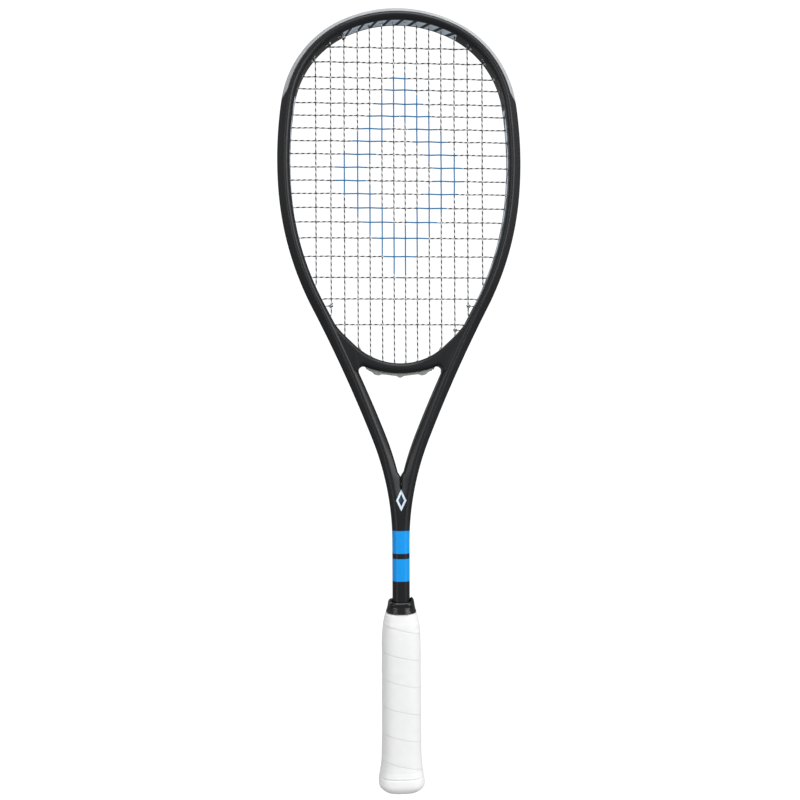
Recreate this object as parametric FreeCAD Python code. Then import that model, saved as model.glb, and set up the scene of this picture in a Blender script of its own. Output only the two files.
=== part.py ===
import FreeCAD, Part
import math
import os

# Squash racket, millimetres. +Z runs up the racket from the butt, X lies across the face and
# Y through it, so the strings lie in the XZ plane. The origin is the middle of the butt's face.

V = FreeCAD.Vector

# ---------------------------------------------------------------- driving dimensions

HEAD_TOP = 686.0            # overall length
# Outer edge of one half of the frame, from the top of the head to the shaft, as tangent arcs:
# radius, turn in degrees, and 1 where the frame bulges or -1 where it hollows.
OUTLINE = (
    (118.6, 25.07, 1),
    (93.1, 56.32, 1),
    (352.5, 12.96, 1),
    (265.2, 22.93, 1),
    (1241.0, 5.91, -1),
    (246.8, 21.37, -1),
)
HOOP_ARCS = 4               # arcs that have the head's section all along
SHAFT_END = 14.0            # height of the shaft's lower end, inside the handle

# Sections of the tube, each a six-sided ring: height up the racket, half depth of the outer
# flat, inset of the ridge, half depth at the ridge, thickness in the face, half depth inside.
SECTIONS = (
    (220.0, 5.6, 3.0, 8.75, 12.3, 8.75),
    (265.0, 5.6, 4.6, 9.3, 12.3, 6.8),
    (310.0, 5.2, 6.2, 9.8, 12.3, 5.2),
    (370.0, 4.8, 6.9, 10.3, 12.0, 6.6),
    (425.0, 4.6, 7.4, 11.0, 11.0, 8.0),
)
WALL = 1.5
SEPTUM = 1.6                # carbon wall between the two legs in the shaft
VOID_TOP = (385.0, 5.6)     # above this height the hollow starts this far in, under the channel
VOID_LOW = (350.0, 1.7)     # below this one it starts here

BUMPER_END_Z = 602.0
RECESS = 3.95               # depth of the string channel and of the bumper's seat
CHANNEL_HALF = 3.2
CHANNEL_END_Z = 384.0
STRIP = (2.6, 3.9)          # inset of the grommet strip's two faces
STRIP_HALF = 3.1
BUMPER_GROOVE_HALF = 1.6

PAST = 1.0                  # how far a cutting shape reaches past what it cuts
SEAT_REACH = 14.0           # half depth of the cut for the bumper, wider than any section
STRIP_PLAY = 0.004          # gap between the strips' ends, as a share of an arc

HOLE_R = 1.5
BARREL_R = 1.42
BARREL_ROOT = 0.1           # how far a barrel starts inside its strip
BORE_R = 0.9
BARREL_TIP = 11.1           # inset of the barrel's inner end
BARREL_TIP_IN_BRIDGE = 0.3

STRING_R = 0.6
STRING_IN = 12.0            # inset where a string turns into its barrel
STRING_OUT = 1.3            # inset of the strings that lie in the channel
MAIN_LANE = -0.75           # main strings and cross strings use lanes of their own
CROSS_LANE = 0.75
WEAVE = 0.76                # height of the weave's corners, before they are rounded
WEAVE_CUT = 0.11            # how far the arc at a corner passes inside it
PORT_CUT = 0.35
PORT_GAP = 3.9              # least distance between holes along the frame
MAINS_X = (5.0, 15.4, 26.1, 36.8, 48.5, 60.3, 73.4)
CROSSES_Z = (
    652.4, 639.2, 625.8, 615.5, 603.2, 592.4, 581.1, 570.1, 558.6, 547.1,
    535.4, 523.9, 511.5, 499.0, 485.0, 468.8, 450.3, 431.5, 408.9,
)
BRIDGE_MAINS = 4            # this many main strings on each side end in the throat bridge
TIE_OFFS = {"main": 425.2, "cross_low": 404.0, "cross_top": 660.4}

# A knot ties the string's end round this main string, counted from the left.
KNOT_HOLDERS = {("main", -1): 1, ("main", 1): 12, ("cross_low", 1): 11, ("cross_top", -1): 2}
KNOT = (1.3, 0.72, 1.75)    # length of each turn, hole and outer radius
KNOT_GAP = 0.06
TAIL = (1.8, 2.2)           # rise of the two stretches of a cut tail

BRIDGE_TOP = (374.7, 57.4)  # height at the middle and radius of the bridge's upper edge
BRIDGE_LOW = (365.9, 88.7)
BRIDGE_HALF_DEPTH = 9.0
BRIDGE_REACH = 47.5
BRIDGE_CHAMFER = 2.2
BRIDGE_VOID_REACH = 35.0
PASSING_MAIN = V(0, 0.8, 9.0)   # run of the first main beside the bridge, up from its port
MAIN_4_EXIT_X = 33.6        # the fourth main leans in to clear the corner of the throat
# Lower edge of the throat strip, as drops below the bridge at distances from the middle.
THROAT_WAVES = ((0.0, 3.2), (4.0, 1.9), (12.0, 1.9), (16.5, 2.3), (20.5, 3.7), (25.0, 2.2), (35.0, 1.9))
THROAT_BASE = 0.6
THROAT_HALF = 3.3
LOOP_SLOT_Z = (360.0, 374.0)    # slots under the bridge for the loops of the main string
LOOP_SLOT_HALF = 1.6
LOOP_SLOT_PAST = (0.8, 3.0)     # room past the loop's two ends
THROAT_PLAY = 0.28          # room over the loops, which cut straight across the curve

# Handle: height, half width and half depth of the outside of the grip.
GRIP = (
    (14.3, 19.4, 16.5), (17.0, 18.9, 16.0), (20.0, 18.4, 15.6), (25.0, 17.9, 15.2), (34.3, 17.5, 14.9),
    (60.7, 17.2, 14.7), (131.0, 17.1, 14.6), (139.0, 16.8, 14.4), (146.0, 16.1, 14.1),
    (151.5, 14.9, 13.6), (155.5, 13.9, 13.1), (156.0, 11.6, 11.7), (161.1, 10.5, 11.2),
)
GRIP_THICK = (1.7, 1.3)     # on the handle and on its neck under the collar
NECK_Z = 155.8
BUTT = (
    (0.0, 11.6, 9.4), (1.0, 14.2, 11.8), (3.0, 17.3, 14.6), (5.2, 19.5, 16.5), (7.4, 20.3, 17.2),
    (9.8, 20.2, 17.1), (14.2, 19.4, 16.5),
)
CAP_SKIRT_TOP = 27.0
SKIRT_FADE = 5.0            # the pallets get thicker over this height above the skirt
CAP_WALL = 1.6
CORNER = 0.36               # cut corner of the eight-sided handle, as a share of its half depth
GLUE = 0.05
PALLET_BOTTOM = 8.0
TAPE_Z = (156.8, 160.9)
TAPE_THICK = 0.12

COLLAR = (
    (156.4, 13.4, 13.7), (157.7, 13.1, 13.5), (160.3, 12.3, 12.9), (163.9, 11.6, 12.2), (166.2, 10.7, 11.6),
    (168.6, 9.6, 10.9), (169.3, 9.0, 10.3),
)
COLLAR_CAVITY = ((156.4, 12.1, 12.4), (161.8, 11.0, 11.7))
COLLAR_FIT = 0.06

# Two staples in the cap's skirt.
STAPLE_Z = 22.0
STAPLE_WIRE = 0.5           # half thickness of the wire
STAPLE_SPAN = 5.0           # half length of the crown
STAPLE_LEG = 6.0
STAPLE_SINK = 0.35          # how far the crown lies under the skirt's surface
STAPLE_PLAY = 0.05


# ---------------------------------------------------------------- outline of the frame

def build_outline():
    """Start, heading and turn of each arc. Heading 0 points along +X and grows clockwise."""
    arcs = []
    x, z, heading = 0.0, HEAD_TOP, 0.0
    for radius, degrees, sense in OUTLINE:
        turn = math.radians(degrees) * sense
        centre = (x - sense * radius * math.sin(heading), z - sense * radius * math.cos(heading))
        arcs.append((radius, turn, sense, centre, heading))
        heading += turn
        x = centre[0] + sense * radius * math.sin(heading)
        z = centre[1] + sense * radius * math.cos(heading)
    return arcs


ARCS = build_outline()
FRAME_END = float(len(ARCS))


def on_frame(t, inset=0.0, y=0.0, side=1):
    """Point on the outline. t is the arc's number plus the share of the arc that is passed."""
    number = min(int(t), len(ARCS) - 1)
    radius, turn, sense, centre, start = ARCS[number]
    heading = start + turn * (t - number)
    reach = radius - sense * inset
    x = centre[0] + sense * reach * math.sin(heading)
    z = centre[1] + sense * reach * math.cos(heading)
    return V(side * x, y, z)


def bisect(below, low, high):
    """The t between low and high where below(t) stops being true."""
    for _ in range(60):
        middle = (low + high) / 2
        if below(middle):
            low = middle
        else:
            high = middle
    return (low + high) / 2


def at_height(z, inset=0.0):
    return bisect(lambda t: on_frame(t, inset).z > z, 0.0, FRAME_END)


WIDEST = bisect(lambda t: on_frame(t + 1e-6).x > on_frame(t).x, 0.0, HOOP_ARCS)
LENGTHS = [radius * abs(turn) for radius, turn, sense, centre, start in ARCS]


def along(t):
    number = min(int(t), len(ARCS) - 1)
    return sum(LENGTHS[:number]) + LENGTHS[number] * (t - number)


def t_along(length):
    return bisect(lambda t: along(t) < length, 0.0, FRAME_END)


# ---------------------------------------------------------------- frame tube

def section_at(z):
    low = SECTIONS[0]
    if z <= low[0]:
        return low[1:]
    for high in SECTIONS[1:]:
        if z <= high[0]:
            share = (z - low[0]) / (high[0] - low[0])
            return tuple(a + (b - a) * share for a, b in zip(low[1:], high[1:]))
        low = high
    return low[1:]


def outer_ring(z):
    flat, ridge_in, ridge, thick, inner = section_at(z)
    return ((0, -flat), (ridge_in, -ridge), (thick, -inner), (thick, inner), (ridge_in, ridge), (0, flat))


def void_ring(z):
    flat, ridge_in, ridge, thick, inner = section_at(z)
    share = min(1.0, max(0.0, (z - VOID_LOW[0]) / (VOID_TOP[0] - VOID_LOW[0])))
    start = VOID_LOW[1] + (VOID_TOP[1] - VOID_LOW[1]) * share
    first = flat + (ridge - flat) * min(start / ridge_in, 1.0) - 1.5 * WALL
    middle = max(ridge_in, start + 0.8)
    widest = ridge - 1.35 * WALL
    last = min(inner - 0.8 * WALL, widest)
    end = thick - WALL
    return ((start, -first), (middle, -widest), (end, -last), (end, last), (middle, widest), (start, first))


def ring_wire(t, ring, side=1):
    points = [on_frame(t, u, v, side) for u, v in ring]
    return Part.makePolygon(points + points[:1])


def band(first, last, ring, side=1):
    """A ring carried along the arcs between two values of t, one turned solid for each arc."""
    solids = []
    for number in range(int(first), min(int(math.ceil(last)), len(ARCS))):
        radius, turn, sense, centre, start = ARCS[number]
        begin = max(first, number)
        share = min(last, number + 1) - begin
        face = Part.Face(ring_wire(begin, ring, side))
        angle = math.degrees(turn * share) * side
        solids.append(face.revolve(V(side * centre[0], 0, centre[1]), V(0, 1, 0), angle))
    return solids


def lower_run(ring_for, middle_x):
    """Arms and shaft of the right leg, cut off where it meets the left leg."""
    stations = [HOOP_ARCS + k / 8 for k in range(8)] + [HOOP_ARCS + 1 + k / 9 for k in range(10)]
    arm = Part.makeLoft([ring_wire(t, ring_for(on_frame(t).z)) for t in stations], True, True)
    end = Part.Face(ring_wire(FRAME_END, ring_for(on_frame(FRAME_END).z)))
    shaft = end.extrude(V(0, 0, SHAFT_END - on_frame(FRAME_END).z))
    keep = Part.makeBox(200, 60, 500, V(middle_x, -30, 0))
    return [arm.common(keep), shaft.common(keep)]


def mirrored(shape):
    return shape.mirror(V(0, 0, 0), V(1, 0, 0))


def leg(ring_for, middle_x):
    parts = band(0, HOOP_ARCS, ring_for(HEAD_TOP)) + lower_run(ring_for, middle_x)
    return parts[0].fuse(parts[1:])


def frame_envelope():
    right = leg(outer_ring, 0.0)
    return right.fuse(mirrored(right)).removeSplitter()


# ---------------------------------------------------------------- string ports

def sort_ports():
    """Every hole of one side of the hoop as name: t, in order, and spread to the least gap."""
    found = {}
    for number, x in enumerate(MAINS_X):
        found["top", number] = bisect(lambda t: on_frame(t, STRING_IN).x < x, 0.0, WIDEST)
        if number >= BRIDGE_MAINS:
            low = bisect(lambda t: on_frame(t, STRING_IN).x > x, WIDEST, HOOP_ARCS + 1.0)
            found["low", number] = low
    for number, z in enumerate(CROSSES_Z):
        found["cross", number] = at_height(z, STRING_IN)
    for name, z in TIE_OFFS.items():
        found["tie", name] = at_height(z, STRING_IN)
    order = sorted(found, key=found.get)
    lengths = [along(found[name]) for name in order]
    for _ in range(400):
        for k in range(1, len(order)):
            short = PORT_GAP - (lengths[k] - lengths[k - 1])
            if short > 0:
                lengths[k] += short / 2
                lengths[k - 1] -= short / 2
    return {name: t_along(length) for name, length in zip(order, lengths)}


PORTS = sort_ports()


def lane_of(name):
    if name[0] == "cross" or str(name[1]).startswith("cross"):
        return CROSS_LANE
    return MAIN_LANE


def port_ends(name, side):
    """Inner and outer corner of a string that goes through the frame at this port."""
    t, lane = PORTS[name], lane_of(name)
    return on_frame(t, STRING_IN, lane, side), on_frame(t, STRING_OUT, lane, side)


def bridge_edge(edge, x):
    height, radius = edge
    return height + radius - math.sqrt(radius ** 2 - x ** 2)


def bridge_ends(number, side):
    x = MAINS_X[number]
    exit_x = MAIN_4_EXIT_X if number == BRIDGE_MAINS - 1 else x
    drop = THROAT_BASE + STRING_R + THROAT_PLAY
    top = V(side * x, MAIN_LANE, bridge_edge(BRIDGE_TOP, x) + 1.0)
    return top, V(side * exit_x, MAIN_LANE, bridge_edge(BRIDGE_LOW, exit_x) - drop)


def rod(start, end, radius):
    return Part.makeCylinder(radius, (end - start).Length, start, end - start)


def frame_rods(names, side, radius, first, last):
    """Round bars on the axes of some ports, between two insets."""
    rods = []
    for name in names:
        t, lane = PORTS[name], lane_of(name)
        rods.append(rod(on_frame(t, first, lane, side), on_frame(t, last, lane, side), radius))
    return rods


def bridge_rods(radius, below, above):
    rods = []
    for side in (-1, 1):
        for number in range(BRIDGE_MAINS):
            top, low = bridge_ends(number, side)
            axis = (top - low).normalize()
            rods.append(rod(low + axis * below, top + axis * above, radius))
    return rods


def names_for(side, first_t, last_t):
    """Ports on one side between two values of t. Only the left or right has some tie-offs."""
    absent = ("tie", "cross_low") if side < 0 else ("tie", "cross_top")
    return [name for name, t in PORTS.items() if first_t <= t < last_t and name != absent]


BUMPER_END = at_height(BUMPER_END_Z)
CHANNEL_END = at_height(CHANNEL_END_Z)


def build_frame(envelope):
    void = leg(void_ring, SEPTUM / 2)
    channel, seat = (
        ((-2 * PAST, -half), (RECESS, -half), (RECESS, half), (-2 * PAST, half))
        for half in (CHANNEL_HALF, SEAT_REACH)
    )
    cuts = [void, mirrored(void)]
    for side in (-1, 1):
        cuts += band(BUMPER_END, CHANNEL_END, channel, side)
        cuts += band(0, BUMPER_END, seat, side)
        cuts += frame_rods(names_for(side, 0, FRAME_END), side, HOLE_R, RECESS - PAST, BARREL_TIP + PAST)
    return envelope.cut(cuts)


# ---------------------------------------------------------------- bridge, bumper, grommets

def bridge_region(grow, reach, half_depth):
    """The bridge's curved bar, made smaller by -grow on its upper and lower edges."""
    top_z, top_r = BRIDGE_TOP
    low_z, low_r = BRIDGE_LOW
    edges = []
    for centre, radius in ((top_z + top_r, top_r - grow), (low_z + low_r, low_r + grow)):
        drop = centre - math.sqrt(radius ** 2 - reach ** 2)
        left, right = V(-reach, -half_depth, drop), V(reach, -half_depth, drop)
        edges.append((left, V(0, -half_depth, centre - radius), right))
    (left_up, middle_up, right_up), (left_low, middle_low, right_low) = edges
    wire = Part.Wire([
        Part.Arc(left_low, middle_low, right_low).toShape(),
        Part.LineSegment(right_low, right_up).toShape(),
        Part.Arc(right_up, middle_up, left_up).toShape(),
        Part.LineSegment(left_up, left_low).toShape(),
    ])
    return Part.Face(wire).extrude(V(0, 2 * half_depth, 0))


def beside_bridge():
    """Room in the bridge's tips for the first main that passes beside them."""
    rods = []
    for side in (-1, 1):
        name = ("low", BRIDGE_MAINS)
        rods += frame_rods([name], side, HOLE_R, BARREL_TIP - 3 * PAST, BARREL_TIP + PAST)
        inner = port_ends(name, side)[0]
        rods.append(rod(inner, inner + PASSING_MAIN, HOLE_R))
    return rods


def build_bridge(envelope):
    bar = bridge_region(0.0, BRIDGE_REACH, BRIDGE_HALF_DEPTH)
    arcs = [e for e in bar.Edges if isinstance(e.Curve, Part.Circle)]
    bar = bar.makeChamfer(BRIDGE_CHAMFER, arcs)
    void = bridge_region(-WALL, BRIDGE_VOID_REACH, BRIDGE_HALF_DEPTH - 2 * WALL)
    bar = bar.cut([void, envelope] + bridge_rods(HOLE_R, 0.0, PAST) + beside_bridge())
    return max(bar.Solids, key=lambda solid: solid.Volume)


def strip_with_barrels(base, rods, bores):
    return base[0].fuse(base[1:] + rods).cut(bores)


def build_bumper():
    wide = SECTIONS[-1][1]
    slope = (SECTIONS[-1][3] - wide) / SECTIONS[-1][2]
    thick, floor = STRIP[1], STRIP[0]
    foot = wide + slope * thick
    ring = (
        (0, -wide), (thick, -foot), (thick, foot), (0, wide),
        (0, BUMPER_GROOVE_HALF), (floor, BUMPER_GROOVE_HALF),
        (floor, -BUMPER_GROOVE_HALF), (0, -BUMPER_GROOVE_HALF),
    )
    base, rods, bores = [], [], []
    for side in (-1, 1):
        names = names_for(side, 0, BUMPER_END)
        base += band(0, BUMPER_END, ring, side)
        rods += frame_rods(names, side, BARREL_R, STRIP[0] + BARREL_ROOT, BARREL_TIP)
        bores += frame_rods(names, side, BORE_R, 0, BARREL_TIP + PAST)
    return strip_with_barrels(base, rods, bores).removeSplitter()


def build_side_grommets(side):
    first, last = BUMPER_END + STRIP_PLAY, CHANNEL_END - STRIP_PLAY
    low, high = STRIP
    ring = ((low, -STRIP_HALF), (high, -STRIP_HALF), (high, STRIP_HALF), (low, STRIP_HALF))
    names = names_for(side, BUMPER_END, FRAME_END)
    rods = frame_rods(names, side, BARREL_R, STRIP[0] + BARREL_ROOT, BARREL_TIP)
    bores = frame_rods(names, side, BORE_R, 0, BARREL_TIP + 1)
    return strip_with_barrels(band(first, last, ring, side), rods, bores)


def build_throat_grommets():
    """Strip under the bridge with a waved lower edge and a slot for each string loop."""
    upper, lower = [], []
    for x, drop in THROAT_WAVES:
        z = bridge_edge(BRIDGE_LOW, x) - GLUE
        upper.append((x, z))
        lower.append((x, z - drop))
    right = [V(x, -THROAT_HALF, z) for x, z in lower]
    left = [V(-x, -THROAT_HALF, z) for x, z in lower[:0:-1]]
    wave = Part.BSplineCurve()
    wave.interpolate(left + right)
    x, z = upper[-1]
    centre_z = sum(BRIDGE_LOW)
    seat = Part.Arc(V(x, -THROAT_HALF, z), V(0, -THROAT_HALF, upper[0][1]), V(-x, -THROAT_HALF, z))
    wire = Part.Wire([
        wave.toShape(),
        Part.LineSegment(right[-1], V(x, -THROAT_HALF, z)).toShape(),
        seat.toShape(),
        Part.LineSegment(V(-x, -THROAT_HALF, z), left[0]).toShape(),
    ])
    strip = Part.Face(wire).extrude(V(0, 2 * THROAT_HALF, 0))
    slots = []
    low_z, high_z = LOOP_SLOT_Z
    roof = rod(V(0, -THROAT_HALF, centre_z), V(0, THROAT_HALF, centre_z), BRIDGE_LOW[1] + THROAT_BASE)
    for side in (-1, 1):
        for first, last in ((0, 1), (2, 3)):
            start = bridge_ends(first, side)[1].x - side * LOOP_SLOT_PAST[0]
            end = bridge_ends(last, side)[1].x + side * LOOP_SLOT_PAST[1]
            left_x, right_x = min(start, end), max(start, end)
            corner = V(left_x, -LOOP_SLOT_HALF, low_z)
            slot = Part.makeBox(right_x - left_x, 2 * LOOP_SLOT_HALF, high_z - low_z, corner)
            slots.append(slot.cut(roof))
    rods = bridge_rods(BARREL_R, 1.0, BARREL_TIP_IN_BRIDGE - 1.0)
    bores = bridge_rods(BORE_R, -1.0, 1.0)
    return strip.cut(slots).fuse(rods).cut(bores)


# ---------------------------------------------------------------- strings

def string_solid(corners):
    """Round string along straight runs, with a tangent arc at each corner (point, cut)."""
    edges = []
    last = corners[0][0]
    for (before, _), (corner, cut), (after, _) in zip(corners, corners[1:], corners[2:]):
        back, ahead = before - corner, after - corner
        half = back.getAngle(ahead) / 2
        reach = cut * math.cos(half) / (1 - math.sin(half))
        reach = min(reach, 0.45 * back.Length, 0.45 * ahead.Length)
        back.normalize()
        ahead.normalize()
        start, end = corner + back * reach, corner + ahead * reach
        inward = (back + ahead).normalize()
        middle = corner + inward * (reach / math.cos(half) - reach * math.tan(half))
        edges.append(Part.LineSegment(last, start).toShape())
        edges.append(Part.Arc(start, middle, end).toShape())
        last = end
    edges.append(Part.LineSegment(last, corners[-1][0]).toShape())
    route = Part.Wire(edges)
    first, second = corners[0][0], corners[1][0]
    profile = Part.Wire([Part.Circle(first, second - first, STRING_R).toShape()])
    solid = route.makePipe(Part.Face(profile))
    share = solid.Volume / (math.pi * STRING_R ** 2 * route.Length)
    print("string", round(route.Length), "mm, volume over section times length", round(share, 5))
    return solid


def signed_mains():
    """All main strings from left to right as (number, side)."""
    left = [(number, -1) for number in reversed(range(len(MAINS_X)))]
    return left + [(number, 1) for number in range(len(MAINS_X))]


def main_ends(number, side):
    top = port_ends(("top", number), side)
    low = bridge_ends(number, side) if number < BRIDGE_MAINS else port_ends(("low", number), side)
    return top, low


def crossings():
    """Where each main meets each cross: {(main, cross): (x, z, sign of the main's y)}."""
    found = {}
    for column, (number, side) in enumerate(signed_mains()):
        (top, _), (low, _) = main_ends(number, side)
        for row, z in enumerate(CROSSES_Z):
            edge = port_ends(("cross", row), 1)[0].x
            if low.z + 0.8 < z < top.z - 0.8 and MAINS_X[number] < edge - 0.8:
                found[column, row] = (side * MAINS_X[number], z, (-1) ** (column + row))
    return found


CROSSINGS = crossings()


def main_run(column, upward):
    number, side = signed_mains()[column]
    (top, top_out), (low, low_out) = main_ends(number, side)
    run = [(top_out, PORT_CUT), (top, PORT_CUT)]
    for row in range(len(CROSSES_Z)):
        if (column, row) in CROSSINGS:
            x, z, sign = CROSSINGS[column, row]
            run.append((V(x, WEAVE * sign, z), WEAVE_CUT))
    run += [(low, PORT_CUT), (low_out, PORT_CUT)]
    return run[::-1] if upward else run


def cross_run(row, leftward):
    (left, left_out), (right, right_out) = port_ends(("cross", row), -1), port_ends(("cross", row), 1)
    run = [(left_out, PORT_CUT), (left, PORT_CUT)]
    for column in range(2 * len(MAINS_X)):
        if (column, row) in CROSSINGS:
            x, z, sign = CROSSINGS[column, row]
            run.append((V(x, -WEAVE * sign, z), WEAVE_CUT))
    run += [(right, PORT_CUT), (right_out, PORT_CUT)]
    return run[::-1] if leftward else run


def knot_place(name, side):
    """Middle and axis of a knot: on the last stretch of its main, level with its tie-off hole."""
    inner = port_ends(("tie", name), side)[0]
    run = main_run(KNOT_HOLDERS[name, side], upward=False)
    (first, _), (second, _) = run[1:3] if name == "cross_top" else run[-3:-1]
    axis = (second - first).normalize()
    return first + axis * ((inner - first).dot(axis)), axis


def tie_end(name, side):
    """The last stretch of a string: out of the channel, through its hole, up to the knot."""
    inner, outer = port_ends(("tie", name), side)
    middle, _ = knot_place(name, side)
    tip = middle + (inner - middle).normalize() * (KNOT[2] + KNOT_GAP)
    return [(outer, PORT_CUT), (inner, PORT_CUT), (tip, 0.0)]


def build_main_string():
    corners = tie_end("main", -1)[::-1]
    for column in range(2 * len(MAINS_X)):
        corners += main_run(column, upward=column % 2 == 0)
    return string_solid(corners + tie_end("main", 1))


def build_cross_string():
    corners = tie_end("cross_low", 1)[::-1]
    for count, row in enumerate(reversed(range(len(CROSSES_Z)))):
        corners += cross_run(row, leftward=count % 2 == 0)
    return string_solid(corners + tie_end("cross_top", -1))


def knot(name, side):
    """Two turns tied round the end of a main string, and the cut tail of the string."""
    middle, axis = knot_place(name, side)
    half, inner, outer = KNOT
    body = Part.Shape()
    for step in (-0.5, 0.5):
        centre = middle + axis * (step * half)
        ring = Part.makeCylinder(outer, half, centre - axis * half / 2, axis)
        ring = ring.makeFillet(0.45, [e for e in ring.Edges if isinstance(e.Curve, Part.Circle)])
        body = ring if body.isNull() else body.fuse(ring)
    inward = 1 if middle.x < 0 else -1
    foot = middle + V(inward * (inner + 0.75), 0, 0)
    lift = 1 if name != "cross_top" else -1
    mid = foot + V(inward * 0.9, 0.0, lift * TAIL[0])
    end = mid + V(-inward * 0.2, 0.0, lift * TAIL[1])
    tail = string_tail([foot, mid, end])
    bore = Part.makeCylinder(inner, 12, middle - axis * 6, axis)
    return body.fuse(tail).cut(bore)


def string_tail(points):
    return rod(points[0], points[1], 0.5).fuse([
        Part.makeSphere(0.5, points[1]), rod(points[1], points[2], 0.5),
    ])


# ---------------------------------------------------------------- handle

def octagon(z, half_width, half_depth):
    cut = CORNER * half_depth
    a, b = half_width, half_depth
    corners = ((a, b - cut), (a - cut, b), (cut - a, b), (-a, b - cut),
               (-a, cut - b), (cut - a, -b), (a - cut, -b), (a, cut - b))
    points = [V(x, y, z) for x, y in corners]
    return Part.makePolygon(points + points[:1])


def stack(levels, shrink=0.0):
    """Eight-sided body through levels of (height, half width, half depth)."""
    wires = [octagon(z, a - shrink, b - shrink) for z, a, b in levels]
    return Part.makeLoft(wires, True, True)


def level_at(levels, z):
    for low, high in zip(levels, levels[1:]):
        if low[0] <= z <= high[0]:
            share = (z - low[0]) / (high[0] - low[0])
            return tuple(a + (b - a) * share for a, b in zip(low, high))
    raise ValueError("height outside the levels")


def core_levels():
    """Outside of the pallets: the grip less its thickness, down to their foot in the cap."""
    foot = tuple(half - 2 * GRIP_THICK[0] for half in GRIP[0][1:])
    levels = [(PALLET_BOTTOM,) + foot, (GRIP[0][0],) + foot]
    for z, a, b in GRIP[1:]:
        thick = (GRIP_THICK[0] if z < NECK_Z else GRIP_THICK[1]) + GLUE
        extra = CAP_WALL * max(0.0, min(1.0, (CAP_SKIRT_TOP + SKIRT_FADE - z) / SKIRT_FADE))
        levels.append((z, a - thick - extra, b - thick - extra))
    return levels


def shaft_block(grow, bottom, top):
    """The shaft's outside, both legs together, enlarged by grow."""
    half = on_frame(FRAME_END).x
    flat, ridge_in, ridge = SECTIONS[0][1:4]
    a, b, c, d = half + grow, flat + 0.4 * grow, half - ridge_in + 0.4 * grow, ridge + grow
    corners = ((a, b), (c, d), (-c, d), (-a, b), (-a, -b), (-c, -d), (c, -d), (a, -b))
    points = [V(x, y, bottom) for x, y in corners]
    return Part.Face(Part.makePolygon(points + points[:1])).extrude(V(0, 0, top - bottom))


def grip_inside():
    levels = []
    for z, a, b in GRIP:
        thick = GRIP_THICK[0] if z < NECK_Z else GRIP_THICK[1]
        levels.append((z, a - thick, b - thick))
    return levels


def build_pallets():
    top = COLLAR[-1][0] + PAST
    core = stack(core_levels()).cut(shaft_block(GLUE, 0, top)).cut(staple_legs(STAPLE_PLAY))
    width, depth = 3 * GRIP[0][1], 2 * GRIP[0][2]
    front = core.common(Part.makeBox(width, depth, top, V(-width / 2, -depth - GLUE, 0)))
    back = core.common(Part.makeBox(width, depth, top, V(-width / 2, GLUE, 0)))
    return front, back


def build_butt_cap():
    """Cup over the handle's end, with a skirt that goes up under the first turns of the grip."""
    skirt = [(z, a, b) for z, a, b in grip_inside() if z < CAP_SKIRT_TOP]
    skirt.append((CAP_SKIRT_TOP,) + level_at(grip_inside(), CAP_SKIRT_TOP)[1:])
    skirt = [(z, a - GLUE, b - GLUE) for z, a, b in skirt]
    cap = stack(BUTT).fuse(stack([(BUTT[-1][0],) + skirt[0][1:]] + skirt))
    levels = [level for level in core_levels() if level[0] < CAP_SKIRT_TOP]
    top = CAP_SKIRT_TOP + PAST
    levels.append((top,) + level_at(core_levels(), top)[1:])
    shaft = shaft_block(GLUE, SHAFT_END - PAST, top)
    return cap.cut([stack(levels, -GLUE), staple_legs(STAPLE_PLAY), shaft])


def staple(side, grow=0.0):
    """Staple driven in from the left or right, its crown sunk level with the cap's skirt."""
    surface = level_at(grip_inside(), STAPLE_Z)[1] - GLUE - STAPLE_SINK
    w = STAPLE_WIRE + grow
    tip, crown, top = surface - STAPLE_LEG - grow, surface - 2 * w, surface + 3 * grow
    wide = STAPLE_SPAN + w
    inner = wide - 2 * w
    half = [(top, wide), (tip, wide), (tip, inner), (crown, inner)]
    outline = [V(side * x, y, STAPLE_Z - w) for x, y in half + [(x, -y) for x, y in reversed(half)]]
    return Part.Face(Part.makePolygon(outline + outline[:1])).extrude(V(0, 0, 2 * w))


def staple_legs(grow):
    slots = [staple(side, grow) for side in (-1, 1)]
    wide, high = STAPLE_SPAN + STAPLE_WIRE + grow, STAPLE_WIRE + grow
    floor = level_at(grip_inside(), STAPLE_Z)[1] - STAPLE_SINK - 2 * GLUE
    for x in (floor, -floor - 2 * PAST):
        slots.append(Part.makeBox(2 * PAST, 2 * wide, 2 * high, V(x, -wide, STAPLE_Z - high)))
    return Part.makeCompound(slots)


def build_grip():
    inside = grip_inside()
    below = (inside[0][0] - PAST,) + inside[0][1:]
    above = (inside[-1][0] + PAST,) + inside[-1][1:]
    return stack(GRIP).cut(stack([below] + inside + [above]))


def build_tape():
    low, high = TAPE_Z
    levels = [(low,) + level_at(GRIP, low)[1:], (high,) + level_at(GRIP, high)[1:]]
    return stack(levels, -GLUE - TAPE_THICK).cut(stack(levels, -GLUE))


def build_collar():
    roof = COLLAR_CAVITY[1][0]
    cavity = stack(((COLLAR_CAVITY[0][0] - PAST,) + COLLAR_CAVITY[0][1:], (roof,) + COLLAR_CAVITY[1][1:]))
    return stack(COLLAR).cut([cavity, shaft_block(COLLAR_FIT, COLLAR[0][0] - PAST, COLLAR[-1][0] + PAST)])


# ---------------------------------------------------------------- nodes

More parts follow.
